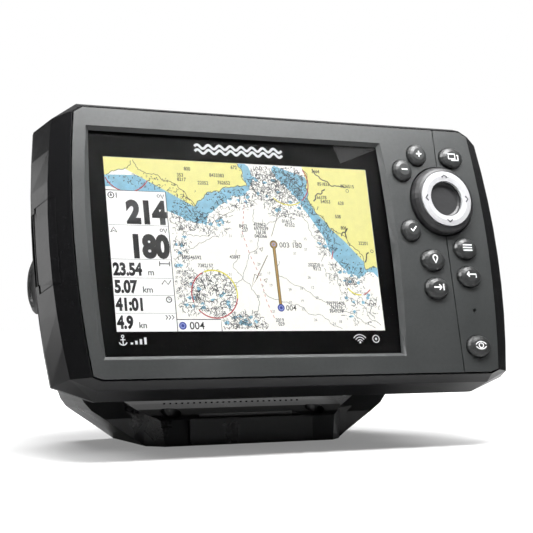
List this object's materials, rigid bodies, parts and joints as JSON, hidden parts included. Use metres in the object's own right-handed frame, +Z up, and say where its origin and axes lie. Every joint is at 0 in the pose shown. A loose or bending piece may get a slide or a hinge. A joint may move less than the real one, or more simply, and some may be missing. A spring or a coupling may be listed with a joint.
{
  "type": "chartplotter display",
  "caption": "Marine chartplotter with a lit chart screen, keypad and rocking direction pad, tilting in a low U-shaped bracket between two clamp knobs.",
  "frame": {"origin": "centre of the bracket base's flat underside, where it rests on a dash or table", "axes": "+Z up out of the bracket's underside; -Y is the side that the screen faces; +X is to the right of a person who looks at the screen; the tilt axis runs along X"},
  "size_m": [0.1941, 0.1047, 0.128],
  "materials": {
    "fascia_grey": "matte",
    "case_black": "satin",
    "rear_black": "matte",
    "bracket_black": "satin",
    "key_grey": "satin",
    "pad_dark": "satin",
    "pad_silver": "satin",
    "lens_clear": "gloss",
    "picture": "satin",
    "diffuser": "matte",
    "rubber_black": "matte",
    "board_green": "satin",
    "aluminium": "satin",
    "iron_core": "matte",
    "ceramic": "satin",
    "brass": "satin",
    "shell_black": "satin",
    "knob_black": "satin",
    "steel": "satin"
  },
  "bodies": {
    "bracket": {"bracket_frame": "bracket_black", "bracket_front_panel": "bracket_black"},
    "display": {"buzzer": "rear_black", "card_bay": "rear_black", "card_reader": "aluminium", "case_gasket": "rubber_black", "case_screw_1": "steel", "case_screw_2": "steel", "case_screw_3": "steel", "case_screw_4": "steel", "display_lens": "lens_clear", "door_pin": "steel", "front_case": "case_black", "front_fascia": "fascia_grey", "gps_antenna": "ceramic", "heat_sink": "aluminium", "keypad_board": "board_green", "keypad_mat": "rubber_black", "lcd_backlight": "diffuser", "lcd_bracket": "aluminium", "lcd_panel": "picture", "lens_gasket": "rubber_black", "main_board": "board_green", "network_socket": "shell_black", "network_socket_nut": "brass", "pivot_insert_left": "brass", "pivot_insert_right": "brass", "pivot_washer_left": "rubber_black", "pivot_washer_right": "rubber_black", "power_socket": "shell_black", "power_socket_nut": "brass", "processor_shield": "aluminium", "rear_case": "rear_black", "sonar_board": "board_green", "sonar_socket": "shell_black", "sonar_socket_nut": "brass", "sonar_transformer": "iron_core", "status_lamp": "lens_clear", "vent_plug": "rubber_black"},
    "media_door": {"media_door": "case_black"},
    "nav_rocker": {"nav_pivot": "steel"},
    "nav_pad": {"nav_pad": "pad_dark", "nav_ring": "pad_silver"},
    "knob_left_carrier": {"knob_washer_left": "steel"},
    "knob_left": {"knob_left": "knob_black", "knob_stud_left": "steel"},
    "knob_right_carrier": {"knob_washer_right": "steel"},
    "knob_right": {"knob_right": "knob_black", "knob_stud_right": "steel"},
    "key_plus": {"key_plus": "key_grey"},
    "key_minus": {"key_minus": "key_grey"},
    "key_view": {"key_view": "key_grey"},
    "key_check": {"key_check": "key_grey"},
    "key_menu": {"key_menu": "key_grey"},
    "key_exit": {"key_exit": "key_grey"},
    "key_mark": {"key_mark": "key_grey"},
    "key_goto": {"key_goto": "key_grey"},
    "key_power": {"key_power": "key_grey"}
  },
  "joints": [
    {"name": "tilt", "type": "hinge", "parent": "bracket", "child": "display", "pos_m": [0, -0.0067, 0.0631], "axis": [1, 0, 0], "range_deg": [-45, 15]},
    {"name": "knob_left_travel", "type": "slide", "parent": "display", "child": "knob_left_carrier", "axis": [-1, 0, 0], "range_m": [0, 0.002]},
    {"name": "knob_left_turn", "type": "hinge", "parent": "knob_left_carrier", "child": "knob_left", "pos_m": [-0.0787, -0.0067, 0.0631], "axis": [-1, 0, 0], "range_deg": [0, 720]},
    {"name": "knob_right_travel", "type": "slide", "parent": "display", "child": "knob_right_carrier", "axis": [1, 0, 0], "range_m": [0, 0.002]},
    {"name": "knob_right_turn", "type": "hinge", "parent": "knob_right_carrier", "child": "knob_right", "pos_m": [0.0787, -0.0067, 0.0631], "axis": [1, 0, 0], "range_deg": [0, 720]},
    {"name": "press_plus", "type": "slide", "parent": "display", "child": "key_plus", "axis": [0, 0.9711, -0.2385], "range_m": [0, 0.001], "stiffness_N_per_m": 700},
    {"name": "press_minus", "type": "slide", "parent": "display", "child": "key_minus", "axis": [0, 0.9711, -0.2385], "range_m": [0, 0.001], "stiffness_N_per_m": 700},
    {"name": "press_view", "type": "slide", "parent": "display", "child": "key_view", "axis": [0, 0.9711, -0.2385], "range_m": [0, 0.001], "stiffness_N_per_m": 700},
    {"name": "press_check", "type": "slide", "parent": "display", "child": "key_check", "axis": [0, 0.9711, -0.2385], "range_m": [0, 0.001], "stiffness_N_per_m": 700},
    {"name": "press_menu", "type": "slide", "parent": "display", "child": "key_menu", "axis": [0, 0.9711, -0.2385], "range_m": [0, 0.001], "stiffness_N_per_m": 700},
    {"name": "press_exit", "type": "slide", "parent": "display", "child": "key_exit", "axis": [0, 0.9711, -0.2385], "range_m": [0, 0.001], "stiffness_N_per_m": 700},
    {"name": "press_mark", "type": "slide", "parent": "display", "child": "key_mark", "axis": [0, 0.9711, -0.2385], "range_m": [0, 0.001], "stiffness_N_per_m": 700},
    {"name": "press_goto", "type": "slide", "parent": "display", "child": "key_goto", "axis": [0, 0.9711, -0.2385], "range_m": [0, 0.001], "stiffness_N_per_m": 700},
    {"name": "press_power", "type": "slide", "parent": "display", "child": "key_power", "axis": [0, 0.9711, -0.2385], "range_m": [0, 0.001], "stiffness_N_per_m": 700},
    {"name": "nav_up_down", "type": "hinge", "parent": "display", "child": "nav_rocker", "pos_m": [0.06705, -0.05784, 0.09595], "axis": [1, 0, 0], "range_deg": [-4, 4], "stiffness_Nm_per_rad": 0.3},
    {"name": "nav_left_right", "type": "hinge", "parent": "nav_rocker", "child": "nav_pad", "pos_m": [0.06705, -0.05784, 0.09595], "axis": [0, 0.2385, 0.9711], "range_deg": [-4, 4], "stiffness_Nm_per_rad": 0.3},
    {"name": "door_hinge", "type": "hinge", "parent": "display", "child": "media_door", "pos_m": [-0.0949, -0.05215, 0.07426], "axis": [0, -0.2385, -0.9711], "range_deg": [0, 75]}
  ],
  "couplings": [
    {"joint": "knob_left_turn", "follows": "knob_left_travel", "rad_per_m": 6283.2},
    {"joint": "knob_right_turn", "follows": "knob_right_travel", "rad_per_m": 6283.2}
  ]
}
